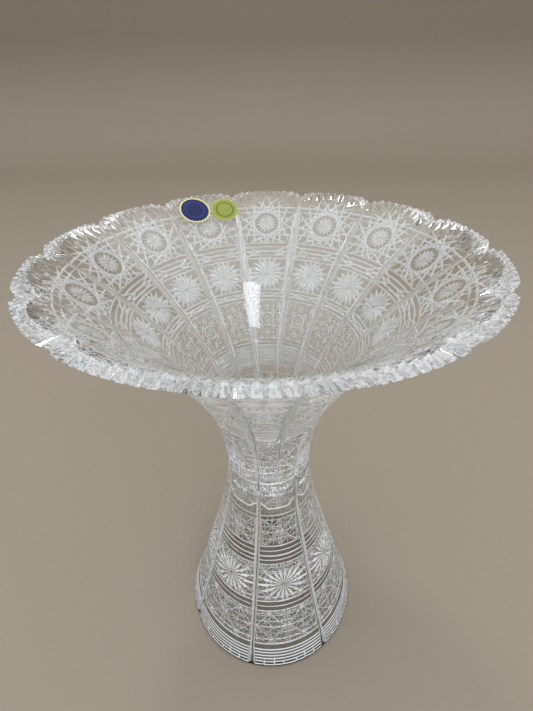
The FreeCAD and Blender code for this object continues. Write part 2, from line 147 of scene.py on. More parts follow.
class Cuts:
    """V cuts on a panel laid out flat: x runs across it and y up the wall, in millimetres."""

    belly = 0.6                               # how far along a leaf-shaped cut it is widest
    point = 0.02                              # half width left at a cut's pointed end
    clearance = 0.25                          # plain glass left beside the long cuts

    def __init__(self, steepness, wall, half_turn, mitre):
        self.steepness = steepness
        self.wall = wall
        self.half_turn = half_turn
        self.mitre = mitre                    # half width of the long cut at a place up the wall
        self.finish = GROUND
        self.spans = []
        self.fields = []

    def span(self, start, end, start_half, end_half):
        if math.dist(start, end) > 1e-3:
            self.spans.append((start[0], start[1], end[0], end[1], start_half, end_half,
                               self.finish))

    def line(self, start, end, half, taper_start=0.0, taper_end=0.0, keep=None):
        """A straight cut that may narrow to a point at either end, and stays where keep allows."""
        start, end = np.array(start, float), np.array(end, float)
        stations = sorted({0.0, taper_start, 1.0 - taper_end, 1.0})

        def half_at(share):
            grow = min(1.0, share / taper_start) if taper_start else 1.0
            fade = min(1.0, (1 - share) / taper_end) if taper_end else 1.0
            return half * max(0.0, min(grow, fade))

        if keep is None:
            runs = [(0.0, 1.0)]
        else:
            shares = np.linspace(0, 1, 161)
            inside = [keep(*(start + (end - start) * share)) for share in shares]
            runs, begun = [], None
            for share, good in zip(shares, inside):
                if good and begun is None:
                    begun = share
                if begun is not None and (not good or share == 1):
                    if share > begun:
                        runs.append((begun, share))
                    begun = None
        for low, high in runs:
            marks = [low] + [mark for mark in stations if low < mark < high] + [high]
            for first, last in zip(marks, marks[1:]):
                self.span(start + (end - start) * first, start + (end - start) * last,
                          half_at(first), half_at(last))

    def half_width(self, y):
        return float(self.wall.at(y)[0, 0]) * self.half_turn

    def room(self, y):
        """How far from the centre line the panel's own cuts may reach."""
        return self.half_width(y) - (self.mitre(y) + self.clearance)

    def between(self, low, high, middle=None, gap=0):
        """A test for spots between two places up the wall, off the long cuts and round a middle."""
        return lambda x, y: (low < y < high and abs(x) < self.room(y)
                             and (middle is None or math.dist((x, y), middle) > gap))

    def level(self, y, half, over=0.0, keep=None):
        """A level cut across the panel, and past its sides by over."""
        reach = self.half_width(y) + over
        self.line((-reach, y), (reach, y), half, keep=keep)

    def levels(self, rows):
        """Level cuts at heights above the foot, each with its half width."""
        for height, half in rows:
            self.level(self.wall.walk_to(height), half)

    def bow(self, edge_height, middle_height, half):
        """A shallow arc across the panel, as short straight cuts."""
        edge, middle = self.wall.walk_to(edge_height), self.wall.walk_to(middle_height)
        reach = self.half_width(edge)
        shares = np.linspace(-1, 1, 9)
        spots = [(reach * share, middle + (edge - middle) * share ** 2) for share in shares]
        for start, end in zip(spots, spots[1:]):
            self.span(start, end, half, half)

    def petal(self, centre, turn, inner, outer, half):
        """A leaf-shaped cut pointing away from a centre."""
        way = np.array([math.sin(turn), math.cos(turn)])
        centre = np.array(centre, float)
        middle = inner + (outer - inner) * self.belly
        self.span(centre + way * inner, centre + way * middle, self.point, half)
        self.span(centre + way * middle, centre + way * outer, half, self.point)

    def flower(self, centre, petals, inner, reach, half):
        """Leaf cuts all round; reach gives how far each goes for its direction."""
        for k in range(petals):
            turn = 2 * math.pi * (k + 0.5) / petals
            self.petal(centre, turn, inner, reach(turn), half)

    def lattice(self, centre, pitch, reach, half, keep):
        """Crossing cuts in four directions, which leave a ground of small stars."""
        x, y = centre
        for k in range(-int(reach / pitch), int(reach / pitch) + 1):
            off = k * pitch
            cuts = [((x + off, y - reach), (x + off, y + reach)),
                    ((x - reach, y + off), (x + reach, y + off))]
            cuts += [((x + 2 * off - reach, y - lean * reach), (x + 2 * off + reach, y + lean * reach))
                     for lean in (-1, 1)]
            for start, end in cuts:
                self.line(start, end, half, keep=keep)

    def ring(self, centre, radius, half, sides):
        """A round cut, as short straight ones."""
        spots = [(centre[0] + radius * math.sin(2 * math.pi * k / sides),
                  centre[1] + radius * math.cos(2 * math.pi * k / sides)) for k in range(sides)]
        for start, end in zip(spots, spots[1:] + spots[:1]):
            self.span(start, end, half, half)

    def star(self, centre, points, skip, radius, half, keep):
        """Long straight cuts from tip to tip of a pointed star."""
        tips = [(centre[0] + radius * math.sin(2 * math.pi * k / points),
                 centre[1] + radius * math.cos(2 * math.pi * k / points)) for k in range(points)]
        for k in range(points):
            self.line(tips[k], tips[(k + skip) % points], half, 0.2, 0.2, keep)

    def field(self, corners, finish):
        """A patch inside a closed outline that is finished alike all over."""
        self.fields.append((np.array(corners, float), finish))

    def depth(self, spots):
        """How deep the cuts go at each spot, and their finish: the deepest of them wins."""
        deepest = np.zeros(len(spots))
        finish = np.full(len(spots), POLISHED)
        for x0, y0, x1, y1, half0, half1, grind in self.spans:
            way = np.array([x1 - x0, y1 - y0])
            off = spots - (x0, y0)
            share = np.clip(off @ way / (way @ way), 0, 1)
            gap = np.hypot(*(off - share[:, None] * way).T)
            here = self.steepness * (half0 + (half1 - half0) * share - gap)
            deeper = here > deepest
            deepest[deeper], finish[deeper] = here[deeper], grind
        return deepest, finish

    def creases(self):
        """The bottom and both edges of every cut, as pairs of ends."""
        lines = []
        for x0, y0, x1, y1, half0, half1, _ in self.spans:
            way = np.array([x1 - x0, y1 - y0])
            way = way / np.linalg.norm(way)
            side = np.array([-way[1], way[0]])
            start, end = np.array([x0, y0]), np.array([x1, y1])
            lines.append((start, end))
            for sign in (-1, 1):
                lines.append((start + sign * side * half0, end + sign * side * half1))
        for corners, _ in self.fields:
            lines += [(corners[i], corners[(i + 1) % len(corners)]) for i in range(len(corners))]
        return lines


def inside_outline(spots, corners):
    """Which spots lie inside a closed outline."""
    inside = np.zeros(len(spots), bool)
    x, y = spots[:, 0], spots[:, 1]
    for (x0, y0), (x1, y1) in zip(corners, np.roll(corners, -1, axis=0)):
        crosses = (y0 > y) != (y1 > y)
        edge = x0 + (y - y0) * (x1 - x0) / (y1 - y0 if y1 != y0 else 1e-9)
        inside ^= crosses & (x < edge)
    return inside


class Panel:
    """One cut panel of a turned wall, from its centre line to the long cut at its side."""

    root = 0.55                               # half width of the clear root of the long cut
    low_columns = 8                           # lengths that the lower edge is laid out in
    crease_length = 6.0                       # longest straight length along a cut
    shortest = 0.02                           # cuts shorter than this aren't laid out
    near_edge = 6e-4                          # turn within which a border point is on the edge
    same_edge = 3e-5                          # turn within which any point is on the edge

    def __init__(self, outline, count, mitre_half, mitre_steepness, low, high, columns):
        self.outline = outline
        self.half_turn = math.pi / count
        self.mitre_half = mitre_half          # half width of the long cut at a place along the wall
        self.mitre_steepness = mitre_steepness
        self.low = low
        self.high = high                      # upper edge of the cut surface, for a turn
        self.columns = columns

    def half_width(self, along):
        return self.outline.at(along)[:, 0] * self.half_turn

    def lay_out(self, cuts, spacing):
        """Triangles of the right half, with the bottom and the edges of every cut as their sides."""
        turns = np.linspace(0, self.half_turn, self.columns + 1)
        tops = np.array([self.high(turn) for turn in turns])
        radii = self.outline.at(tops)[:, 0]
        top = np.stack([turns * radii, tops], 1)
        rows = max(8, int((tops[-1] - self.low) / spacing))
        side_y = np.linspace(tops[-1], self.low, rows + 1)[1:]
        side = np.stack([self.half_width(side_y), side_y], 1)
        bottom = np.stack([np.linspace(side[-1, 0], 0, self.low_columns + 1)[1:],
                           np.full(self.low_columns, self.low)], 1)
        middle_y = np.linspace(self.low, tops[0], rows + 1)[1:-1]
        middle = np.stack([np.zeros(rows - 1), middle_y], 1)
        loop = np.concatenate([top, side, bottom, middle])
        points = [tuple(spot) for spot in loop]
        edges = [(i, (i + 1) % len(loop)) for i in range(len(loop))]

        def add(start, end):
            """Lays out what is right of the centre line, in short lengths that bend with the wall."""
            start, end = np.array(start, float), np.array(end, float)
            if start[0] < 0 and end[0] < 0:
                return
            if start[0] < 0 or end[0] < 0:
                share = start[0] / (start[0] - end[0])
                cross = start + (end - start) * share
                cross[0] = 0.0
                start, end = (cross, end) if start[0] < 0 else (start, cross)
            if math.dist(start, end) < self.shortest:
                return
            lengths = int(math.dist(start, end) / self.crease_length) + 1
            first = len(points)
            points.extend([tuple(start + (end - start) * k / lengths) for k in range(lengths + 1)])
            edges.extend([(first + k, first + k + 1) for k in range(lengths)])

        for start, end in cuts.creases():
            add(start, end)
        mitre_y = np.linspace(self.low, tops[-1], rows + 1)
        halves = np.array([self.mitre_half(y) for y in mitre_y])
        for inner in (self.half_width(mitre_y) - halves,
                      self.half_width(mitre_y) - np.minimum(self.root, halves)):
            for i in np.flatnonzero(halves[:-1] > 0):
                add((inner[i], mitre_y[i]), (inner[i + 1], mitre_y[i + 1]))
        # A loose grid keeps the plain glass between the cuts round.
        loose = 1.6 * spacing
        for y in np.arange(self.low + spacing, tops[0], loose):
            limit = float(self.half_width(y)[0])
            points += [(x, y) for x in np.arange(loose / 2, limit, loose)]

        found = delaunay_2d_cdt([Vector(p) for p in points], edges, [], 0, 1e-3, False)
        spots = np.array([tuple(v) for v in found[0]])
        tris = np.array([tuple(face) for face in found[2] if len(face) == 3])
        good = inside_outline(spots[tris].mean(axis=1), loop)
        first, second, third = (spots[tris[:, i]] for i in range(3))
        thinnest = 1e-7
        good &= np.abs(np.cross(second - first, third - first)) > thinnest
        return spots, tris[good]

    def depth(self, spots, cuts):
        """Depth and finish at each spot, and whether the long cut between panels made it."""
        gap = self.half_width(spots[:, 1]) - spots[:, 0]
        half = np.array([self.mitre_half(y) for y in spots[:, 1]])
        long_cut = self.mitre_steepness * (half - gap)
        depth, finish = cuts.depth(spots)
        wins = long_cut >= depth
        finish[wins] = np.where(gap[wins] > self.root, HAZY, POLISHED)
        return np.maximum(long_cut, depth), finish, wins

    def skin(self, cuts, spacing):
        """Points in space, triangles and their finish, for the whole panel facing +X."""
        spots, tris = self.lay_out(cuts, spacing)
        turn = spots[:, 0] / self.outline.at(spots[:, 1])[:, 0]
        # Points on the two long edges are set exactly there, so that the next panel meets them,
        # and a triangle with all its corners on such an edge is left out.
        sides = np.sort(np.concatenate([tris[:, :2], tris[:, 1:], tris[:, ::2]]), axis=1)
        pairs, uses = np.unique(sides, axis=0, return_counts=True)
        border = np.zeros(len(spots), bool)
        border[pairs[uses == 1]] = True
        gap = np.abs(turn - self.half_turn)
        turn[(border & (gap < self.near_edge)) | (gap < self.same_edge)] = self.half_turn
        turn[border & (np.abs(turn) < 1e-6)] = 0.0
        tris = tris[~(turn[tris] == self.half_turn).all(axis=1)]
        used = np.unique(tris)
        renumber = np.full(len(spots), -1)
        renumber[used] = np.arange(len(used))
        spots, turn, tris = spots[used], turn[used], renumber[tris]
        depth = np.maximum(self.depth(spots, cuts)[0], 0)
        sunk = self.outline.at(spots[:, 1]) - self.outline.normal(spots[:, 1]) * depth[:, None]
        centres = spots[tris].mean(axis=1)
        _, finish, long_cut = self.depth(centres, cuts)
        for corners, chosen in cuts.fields:
            finish[inside_outline(centres, corners) & ~long_cut] = chosen
        # The left half is the right one mirrored, and the two share the centre line.
        mirror = np.arange(len(turn)) + len(turn)
        mirror[turn == 0] = np.flatnonzero(turn == 0)
        return (np.concatenate([turn, -turn]), np.concatenate([sunk, sunk]),
                np.concatenate([tris, mirror[tris[:, ::-1]]]), np.concatenate([finish, finish]))


class Wedge:
    """The skin of one sector of a turned piece, gathered row by row from the inside of its foot."""

    def __init__(self, half_turn):
        self.half_turn = half_turn
        self.points = np.zeros((0, 3))
        self.faces = []
        self.finish = []

    def add_points(self, turns, radii, heights):
        turns, radii, heights = np.broadcast_arrays(turns, radii, heights)
        block = np.stack([radii * np.cos(turns), radii * np.sin(turns), heights], 1)
        first = len(self.points)
        self.points = np.concatenate([self.points, block])
        return np.arange(first, first + len(block))

    def add_faces(self, faces, finish):
        self.faces += [tuple(int(i) for i in face) for face in faces]
        self.finish += list(np.broadcast_to(finish, len(faces)))

    def skin(self, panel, cuts, spacing, swing=0.0):
        """Adds a cut panel turned by swing, and gives its lowest and highest rows."""
        turns, radius_height, tris, finish = panel.skin(cuts, spacing)
        swung = turns + swing
        index = self.add_points(swung, radius_height[:, 0], radius_height[:, 1])
        self.add_faces(index[tris], finish)
        sides = np.concatenate([tris[:, [0, 1]], tris[:, [1, 2]], tris[:, [2, 0]]])
        ends, counts = np.unique(np.sort(sides, axis=1), axis=0, return_counts=True)
        open_ends = ends[counts == 1]
        on_side = np.all(np.abs(np.abs(turns[open_ends]) - panel.half_turn) < 1e-6, axis=1)
        open_ends = open_ends[~on_side]
        middle = (radius_height[:, 1].max() + radius_height[:, 1].min()) / 2
        rows = []
        for keep in (radius_height[open_ends].mean(axis=1)[:, 1] < middle,
                     radius_height[open_ends].mean(axis=1)[:, 1] >= middle):
            row = np.unique(open_ends[keep])
            row = row[np.argsort(turns[row])]
            rows.append((index[row], swung[row]))
        return rows

    def row(self, turns, radii, heights):
        turns = np.asarray(turns, float)
        return self.add_points(turns, radii, heights), turns

    def round_row(self, radius, height, steps):
        """A level row right across the sector, or a single point on the axis."""
        if radius < 1e-6:
            return self.row([0.0], 0.0, height)
        return self.row(np.linspace(-self.half_turn, self.half_turn, steps + 1), radius, height)

    def ladder(self, rows, finish=POLISHED):
        """Triangles between rows that may have different numbers of points."""
        for (first, first_turns), (second, second_turns) in zip(rows, rows[1:]):
            i = j = 0
            faces = []
            while i < len(first) - 1 or j < len(second) - 1:
                if j == len(second) - 1 or (
                        i < len(first) - 1 and first_turns[i + 1] <= second_turns[j + 1] + 1e-9):
                    faces.append((first[i], first[i + 1], second[j]))
                    i += 1
                else:
                    faces.append((first[i], second[j + 1], second[j]))
                    j += 1
            self.add_faces(faces, finish)

    def mesh(self, name):
        mesh = bpy.data.meshes.new(name)
        mesh.from_pydata([tuple(point) for point in self.points * MM], [], self.faces)
        mesh.attributes.new("grind", "FLOAT", "FACE").data.foreach_set("value", self.finish)
        return mesh


# ---------------------------------------------------------------- nodes

def add_object(name, data):
    """A new object in the scene that holds a mesh, a lamp or a camera."""
    thing = bpy.data.objects.new(name, data)
    bpy.context.scene.collection.objects.link(thing)
    return thing


def add_node(tree, kind, settings=None, **links):
    """Adds a node with its settings, and links or sets its inputs by name."""
    node = tree.nodes.new(kind)
    for name, value in (settings or {}).items():
        setattr(node, name, value)
    for name, value in links.items():
        place = int(name[3:]) if name.startswith("pin") else name.replace("_", " ")
        if isinstance(value, bpy.types.NodeSocket):
            tree.links.new(value, node.inputs[place])
        else:
            node.inputs[place].default_value = value
    return node


def linear(code):
    """A colour given as sRGB hex, made linear."""
    parts = [int(code[i:i + 2], 16) / 255 for i in (0, 2, 4)]
    return (*(c / 12.92 if c <= 0.04045 else ((c + 0.055) / 1.055) ** 2.4 for c in parts), 1.0)


def new_material(name):
    material = bpy.data.materials.new(name)
    material.use_nodes = True
    material.node_tree.nodes.clear()
    return material, material.node_tree


def repeat_tree():
    """Copies one sector round the Z axis and joins the copies into one skin."""
    tree = bpy.data.node_groups.new("Repeat Round Axis", "GeometryNodeTree")
    face = tree.interface
    face.new_socket("Geometry", in_out="INPUT", socket_type="NodeSocketGeometry")
    sockets = {
        "Count": face.new_socket("Count", in_out="INPUT", socket_type="NodeSocketInt"),
        "Weld": face.new_socket("Weld", in_out="INPUT", socket_type="NodeSocketFloat"),
        "Glass": face.new_socket("Glass", in_out="INPUT", socket_type="NodeSocketMaterial"),
    }
    face.new_socket("Geometry", in_out="OUTPUT", socket_type="NodeSocketGeometry")
    given = tree.nodes.new("NodeGroupInput").outputs
    single = add_node(tree, "GeometryNodeGeometryToInstance", Geometry=given["Geometry"])
    copies = add_node(tree, "GeometryNodeDuplicateElements", {"domain": "INSTANCE"},
                      Geometry=single.outputs[0], Amount=given["Count"])
    place = add_node(tree, "ShaderNodeMath", {"operation": "ADD"},
                     pin0=copies.outputs["Duplicate Index"], pin1=0.5)
    share = add_node(tree, "ShaderNodeMath", {"operation": "DIVIDE"},
                     pin0=place.outputs[0], pin1=given["Count"])
    turn = add_node(tree, "ShaderNodeMath", {"operation": "MULTIPLY"},
                    pin0=share.outputs[0], pin1=2 * math.pi)
    angle = add_node(tree, "ShaderNodeCombineXYZ", Z=turn.outputs[0])
    turned = add_node(tree, "GeometryNodeRotateInstances",
                      Instances=copies.outputs["Geometry"], Rotation=angle.outputs[0])
    real = add_node(tree, "GeometryNodeRealizeInstances", Geometry=turned.outputs[0])
    welded = add_node(tree, "GeometryNodeMergeByDistance",
                      Geometry=real.outputs[0], Distance=given["Weld"])
    painted = add_node(tree, "GeometryNodeSetMaterial",
                       Geometry=welded.outputs[0], Material=given["Glass"])
    add_node(tree, "NodeGroupOutput", Geometry=painted.outputs[0])
    return tree, {name: socket.identifier for name, socket in sockets.items()}


def turned_piece(name, wedge, count, material):
    """The whole piece as a plain mesh, made from one sector by the repeating tree."""
    sector = add_object(name + "_sector", wedge.mesh(name + "_sector"))
    tree, inputs = repeat_tree()
    modifier = sector.modifiers.new("Repeat", "NODES")
    modifier.node_group = tree
    modifier[inputs["Count"]] = count
    modifier[inputs["Weld"]] = WELD
    modifier[inputs["Glass"]] = material
    graph = bpy.context.evaluated_depsgraph_get()
    mesh = bpy.data.meshes.new_from_object(sector.evaluated_get(graph), depsgraph=graph)
    bpy.data.objects.remove(sector)
    bpy.data.node_groups.remove(tree)
    mesh.name = name
    mesh.shade_smooth()
    mesh.set_sharp_from_angle(angle=GLASS_CREASE)
    piece = add_object(name, mesh)
    if not mesh.polygons:
        raise RuntimeError(name + " came out empty")
    loose = open_edges(mesh)
    print("%s: %d faces, %d open edges" % (name, len(mesh.polygons), loose))
    return piece


def open_edges(mesh):
    """How many sides of a mesh don't have exactly two faces."""
    loops = np.zeros(len(mesh.loops), int)
    mesh.loops.foreach_get("edge_index", loops)
    return int((np.bincount(loops, minlength=len(mesh.edges)) != 2).sum())


# ---------------------------------------------------------------- materials

def lead_crystal(settings):
    """Lead crystal, pressed and wheel cut: heavier and brighter than window glass.

    To the eye it is colourless with hard white sparks at the cut edges, and the cuts that were
    left unpolished look like frost."""
    material, tree = new_material("Lead Crystal")
    place = add_node(tree, "ShaderNodeTexCoord").outputs["Object"]
    grind = add_node(tree, "ShaderNodeAttribute", {"attribute_name": "grind"}).outputs["Fac"]
    # Polish marks a few centimetres long, and grit about half a millimetre across.
    swirl = add_node(tree, "ShaderNodeTexNoise", Vector=place, Scale=35.0, Detail=3.0)
    grit = add_node(tree, "ShaderNodeTexNoise", Vector=place, Scale=1800.0, Detail=1.0)
    haze = add_node(tree, "ShaderNodeMapRange", Value=swirl.outputs["Fac"],
                    From_Min=0.35, From_Max=0.75, To_Min=0.0, To_Max=0.03)
    frost = add_node(tree, "ShaderNodeMapRange", Value=grind, To_Min=0.0, To_Max=settings.frost)
    clear = add_node(tree, "ShaderNodeMapRange", Value=grind, To_Min=1.0, To_Max=settings.clear)
    rough = add_node(tree, "ShaderNodeMath", {"operation": "ADD"},
                     pin0=haze.outputs[0], pin1=frost.outputs[0])
    grain = add_node(tree, "ShaderNodeMath", {"operation": "MULTIPLY"},
                     pin0=grit.outputs["Fac"], pin1=grind)
    bump = add_node(tree, "ShaderNodeBump", Height=grain.outputs[0], Strength=0.35, Distance=0.0002)
    glass = add_node(tree, "ShaderNodeBsdfPrincipled", Base_Color=(*settings.glass_colour, 1.0),
                     IOR=settings.ior, Roughness=rough.outputs[0], Normal=bump.outputs[0],
                     Transmission_Weight=clear.outputs[0])
    add_node(tree, "ShaderNodeOutputMaterial", Surface=glass.outputs[0])
    return material


def seal_foil(name, face, ring, edge):
    """Embossed foil on paper: a printed colour with a soft metallic gloss and a pale cut edge."""
    material, tree = new_material(name)
    place = add_node(tree, "ShaderNodeTexCoord").outputs["Object"]
    away = add_node(tree, "ShaderNodeAttribute", {"attribute_name": "from_middle"}).outputs["Fac"]
    band = tree.nodes.new("ShaderNodeValToRGB")
    band.color_ramp.interpolation = "LINEAR"
    stops = ((0.0, face), (0.56, face), (0.58, ring), (0.63, ring), (0.65, face),
             (0.88, face), (0.9, edge))
    while len(band.color_ramp.elements) < len(stops):
        band.color_ramp.elements.new(0.5)
    for element, (spot, colour) in zip(band.color_ramp.elements, stops):
        element.position, element.color = spot, linear(colour)
    tree.links.new(away, band.inputs[0])
    # Paper fibres about a third of a millimetre long under the foil.
    fibre = add_node(tree, "ShaderNodeTexNoise", Vector=place, Scale=2600.0, Detail=2.0)
    tone = add_node(tree, "ShaderNodeMapRange", Value=fibre.outputs["Fac"], To_Min=0.85, To_Max=1.12)
    colour = add_node(tree, "ShaderNodeMix", {"data_type": "RGBA", "blend_type": "MULTIPLY"}, pin0=1.0)
    tree.links.new(band.outputs[0], colour.inputs[6])
    tree.links.new(tone.outputs[0], colour.inputs[7])
    bump = add_node(tree, "ShaderNodeBump", Height=fibre.outputs["Fac"], Strength=0.2, Distance=0.0001)
    foil = add_node(tree, "ShaderNodeBsdfPrincipled", Base_Color=colour.outputs[2],
                    Roughness=0.5, Specular_IOR_Level=0.25, Normal=bump.outputs[0])
    add_node(tree, "ShaderNodeOutputMaterial", Surface=foil.outputs[0])
    return material


# ---------------------------------------------------------------- shapes

class Form:
    """The outlines of the bowl and its stand, in millimetres."""

    def __init__(self, settings):
        self.seam = STAND_HIGH.z
        self.top = BOWL_HIGH.z
        self.rim = BOWL_HIGH.y
        self.foot = STAND_HIGH.y
        self.waist = settings.waist / MM / 2
        self.rim_low = self.top - settings.rim_rise / MM
        self.foot_edge = settings.foot_edge / MM
        self.half_turn = math.pi / settings.panels
        self.scallop = settings.scallop / MM
        start = (self.waist, self.seam)
        knee = (self.waist + settings.bowl_knee_reach * (self.rim - self.waist),
                self.seam + settings.bowl_knee_rise * (self.rim_low - self.seam))
        rim = (self.rim, self.rim_low)
        low = circle_through(start, (0, 1), knee, 1)
        high = circle_through(knee, heading_after(low, knee, 1), rim, 1)
        self.bowl = Outline([Arc(low, start, knee), Arc(high, knee, rim)])

        inner_rim = (self.rim - settings.rim_run / MM, self.top)
        height = settings.inner_knee / MM
        inner_knee = (float(self.bowl.radius_at(height)) - settings.wall / MM, height)
        heading = (math.cos(settings.inner_slope), math.sin(settings.inner_slope))
        wall = circle_through(inner_knee, heading, inner_rim, 1)
        ball = settings.floor_radius / MM
        ball_centre = np.array((0.0, settings.floor / MM + ball))
        normal = np.array((heading[1], -heading[0]))
        gap = inner_knee - ball_centre
        radius = (gap @ gap - ball ** 2) / (2 * (ball - gap @ normal))
        throat = inner_knee + normal * radius
        touch = ball_centre + (throat - ball_centre) * ball / (ball + radius)
        self.inner = Outline([Arc(ball_centre, (0.001, ball_centre[1] - ball), touch),
                              Arc(throat, touch, inner_knee), Arc(wall, inner_knee, inner_rim)])

        stand_knee = (self.waist + settings.stand_knee_reach * (self.foot - self.waist),
                      settings.stand_knee_rise * self.seam)
        edge = (self.foot, self.foot_edge)
        upper = circle_through(start, (0, -1), stand_knee, -1)
        lower = circle_through(stand_knee, heading_after(upper, stand_knee, -1), edge, -1)
        self.stand = Outline([Arc(lower, edge, stand_knee), Arc(upper, stand_knee, start)])
        thick = settings.stand_wall / MM
        self.stand_hollow = [(self.foot - thick, 0.0), (stand_knee[0] - thick, stand_knee[1])]

    def scallop_at(self, turn):
        """Height of the rim at a turn from the middle of a panel."""
        reach = self.rim * math.sin(self.half_turn)
        bend = (reach ** 2 + self.scallop ** 2) / (2 * self.scallop)
        off = reach - self.rim * math.sin(self.half_turn - abs(turn))
        return self.top - bend + math.sqrt(bend ** 2 - off ** 2)

    def rim_at(self, turn):
        """Length along the outer wall where the rim's edge starts."""
        return self.bowl.walk_to(min(self.rim_low, self.scallop_at(turn)))


def mitre_half(outline, width, shares, y):
    """Half width of the long cut between two panels at a place up the wall."""
    widest = width / MM / 2
    heights, parts = zip(*shares)
    return float(np.interp(outline.at(y)[0, 1], heights, [part * widest for part in parts]))


def bowl_mitre(form, settings, y):
    return mitre_half(form.bowl, settings.mitre, BOWL_MITRES, y)


def stand_mitre(form, settings, y):
    return mitre_half(form.stand, settings.stand_mitre, STAND_MITRES, y)


def oval(wide, tall):
    """How far an oval reaches for its direction, from half its width and height."""
    return lambda turn: 1 / math.hypot(math.sin(turn) / wide, math.cos(turn) / tall)


def busy_ground(cuts, middle, pitch, reach, keep):
    """Close half-polished cuts crossed by fewer bright ones."""
    close_half, bright_half = 0.55, 0.3
    apart = 2.2 * pitch
    shifted = (middle[0] + 1.3, middle[1] + 0.7)
    cuts.finish = FINE
    cuts.lattice(middle, pitch, reach, close_half, keep)
    cuts.finish = GROUND
    cuts.lattice(shifted, apart, reach, bright_half, keep)


def cut_corners(cuts, low, share):
    """Lower edge of a field whose corners are cut off, so that only a share of it is level."""
    corner = cuts.room(low) - 0.4
    drop = 0.35 * corner
    return [(-corner, low + drop), (-corner * share, low), (corner * share, low),
            (corner, low + drop)]


def matt_field(cuts, low, high, pitch):
    """Close level cuts on a matt patch, cut off at its lower corners and outlined below."""
    corners = cut_corners(cuts, low, 0.55)
    keep = cuts.between(low, high)
    rows = int((high - low) / pitch)
    for k in range(rows):
        cuts.level(low + (high - low) * (k + 0.7) / rows, 0.34 * pitch, keep=keep)
    for first, last in ((1, 2), (1, 0), (2, 3)):
        cuts.line(corners[first], corners[last], 0.65)
    cuts.field(corners + [(cuts.room(high), high), (-cuts.room(high), high)], MATT)


def bowl_cuts(form, settings):
    """Every cut of one bowl panel, from the rim down to the wide panels of the neck."""
    cuts = Cuts(settings.steepness, form.bowl, form.half_turn,
                lambda y: bowl_mitre(form, settings, y))
    up = form.bowl.walk_to

    # Saw teeth along the scalloped edge, leaning outwards like a fan.
    teeth = settings.teeth
    for k in range(teeth):
        turn = form.half_turn * (2 * k + 1 - teeth) / teeth
        y = form.rim_at(turn)
        x = turn * float(form.bowl.at(y)[0, 0])
        if x > -1:
            cuts.span((x, y + 0.6), (x * 0.93, y - settings.tooth / MM), 1.25, cuts.point)

    # A big star of long crossing cuts round a ground ring, with a frosted burst inside it.
    middle = (0.0, up(330))
    ring = settings.ring / MM / 2
    cuts.star(middle, 16, 6, settings.star / MM / 2, 1.0, cuts.between(up(317.5), up(350)))
    cuts.ring(middle, ring, 0.95, 28)
    cuts.flower(middle, 16, 0.4, lambda turn: ring - 1.8, 1.0)
    cuts.levels(((340, 0.9), (322.5, 0.8)))

    # Straight bands, with bowed ones that cross them.
    cuts.levels(((317, 0.6), (314.2, 0.75), (311.6, 0.75), (309, 0.75), (306.8, 0.75)))
    for edge, sag in ((317.5, 311), (313.5, 308.5), (306.5, 311.5)):
        cuts.bow(edge, sag, 0.6)

    # A frosted daisy of leaf cuts on a plain ground.
    low, high = up(285), up(308)
    cuts.flower((0.0, (high + low) / 2), 18, 0.6, oval(17.5, (high - low) / 2), 2.1)
    cuts.levels(((286.2, 0.75), (283.8, 0.7), (281.4, 0.7), (279.0, 0.7)))
    for edge, sag in ((287, 282), (279.5, 284)):
        cuts.bow(edge, sag, 0.55)

    # Fine star ground round a small wheel.
    middle = (0.0, up(266))
    small = settings.small_ring / MM / 2
    cuts.lattice(middle, settings.ground_pitch / MM, 20, 0.38,
                 cuts.between(up(252.5), up(279.0), middle, small + 0.7))
    cuts.ring(middle, small, 0.75, 20)
    cuts.flower(middle, 8, 0.4, lambda turn: small - 0.9, 0.75)
    cuts.levels(((252.5, 0.6), (250.0, 0.45), (247.6, 0.6)))

    # Matt field with a cut-off lower end.
    matt_field(cuts, up(settings.split / MM + 3), up(247.0), settings.hatch / MM)
    return cuts


def neck_cuts(form, settings):
    """The wide panels at the foot of the bowl: each lies under two of the panels above."""
    cuts = Cuts(settings.steepness, form.bowl, 2 * form.half_turn,
                lambda y: bowl_mitre(form, settings, y))
    top = form.bowl.walk_to(settings.split / MM) - BELT
    low, high = 0.5, top - 1.2
    busy_ground(cuts, (0, top / 2), settings.neck_pitch / MM, top / 2,
                lambda x, y: low < y < high)
    cuts.finish = HAZY
    for y in (low, high):
        cuts.level(y, 0.6)
    return cuts


